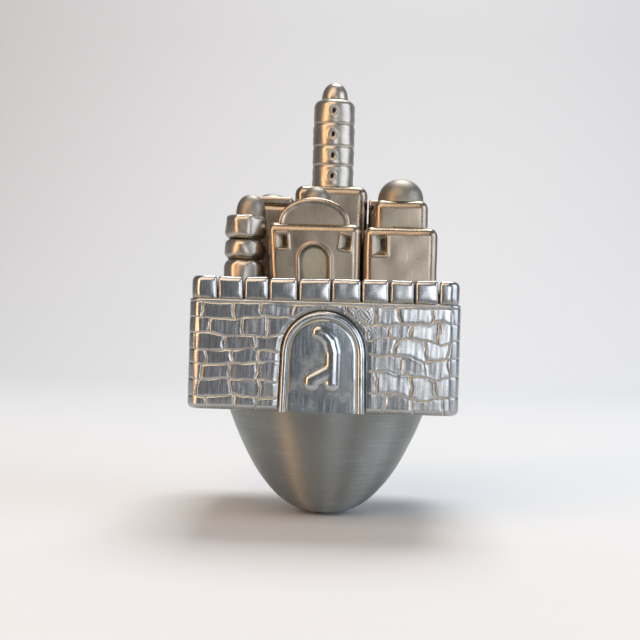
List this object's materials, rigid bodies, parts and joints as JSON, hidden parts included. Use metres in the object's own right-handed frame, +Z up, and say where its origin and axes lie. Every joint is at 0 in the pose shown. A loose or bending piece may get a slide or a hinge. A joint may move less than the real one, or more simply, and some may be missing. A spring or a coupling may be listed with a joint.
{
  "type": "dreidel",
  "caption": "Silver dreidel shaped as a walled city: a lettered gate in each stone wall, domed houses behind battlements, a tower as the spinning stem and a round-nosed tip.",
  "frame": {"origin": "the point of the tip that touches the table, on the spin axis", "axes": "+Z up along the spin axis to the tower's cap, -Y out of the wall with the gimel, +X out of the wall with the nun"},
  "size_m": [0.0414, 0.0414, 0.0683],
  "materials": {
    "spun_silver": "spun and satin, with fine rings",
    "stone_silver": "cast and brushed, dark in the joints",
    "gate_silver": "polished, dark round the letter",
    "plate_silver": "matte sheet",
    "stem_silver": "polished",
    "house_silver": "cast and polished, dull in the recesses"
  },
  "bodies": {
    "root": {"spinning_tip": "spun_silver", "base_plate": "plate_silver", "roof_deck": "plate_silver", "front_wall": "stone_silver", "right_wall": "stone_silver", "back_wall": "stone_silver", "left_wall": "stone_silver", "front_gate": "gate_silver", "right_gate": "gate_silver", "back_gate": "gate_silver", "left_gate": "gate_silver", "front_letter": "gate_silver", "right_letter": "gate_silver", "back_letter": "gate_silver", "left_letter": "gate_silver", "stem_plinth": "stem_silver", "stem": "stem_silver", "stem_cap": "stem_silver", "front_house": "house_silver", "front_pediment": "house_silver", "front_dome": "house_silver", "front_corner_house": "house_silver", "front_corner_upper": "house_silver", "front_corner_dome": "house_silver", "front_turret_base": "house_silver", "front_turret_middle": "house_silver", "front_turret_top": "house_silver", "front_turret_dome": "house_silver", "back_house": "house_silver", "back_pediment": "house_silver", "back_dome": "house_silver", "back_corner_house": "house_silver", "back_corner_upper": "house_silver", "back_corner_dome": "house_silver", "back_turret_base": "house_silver", "back_turret_middle": "house_silver", "back_turret_top": "house_silver", "back_turret_dome": "house_silver", "left_house": "house_silver", "left_house_roof": "house_silver", "left_wing": "house_silver", "left_wing_dome": "house_silver", "right_house": "house_silver", "right_house_roof": "house_silver", "right_wing": "house_silver", "right_wing_dome": "house_silver"}
  },
  "joints": []
}
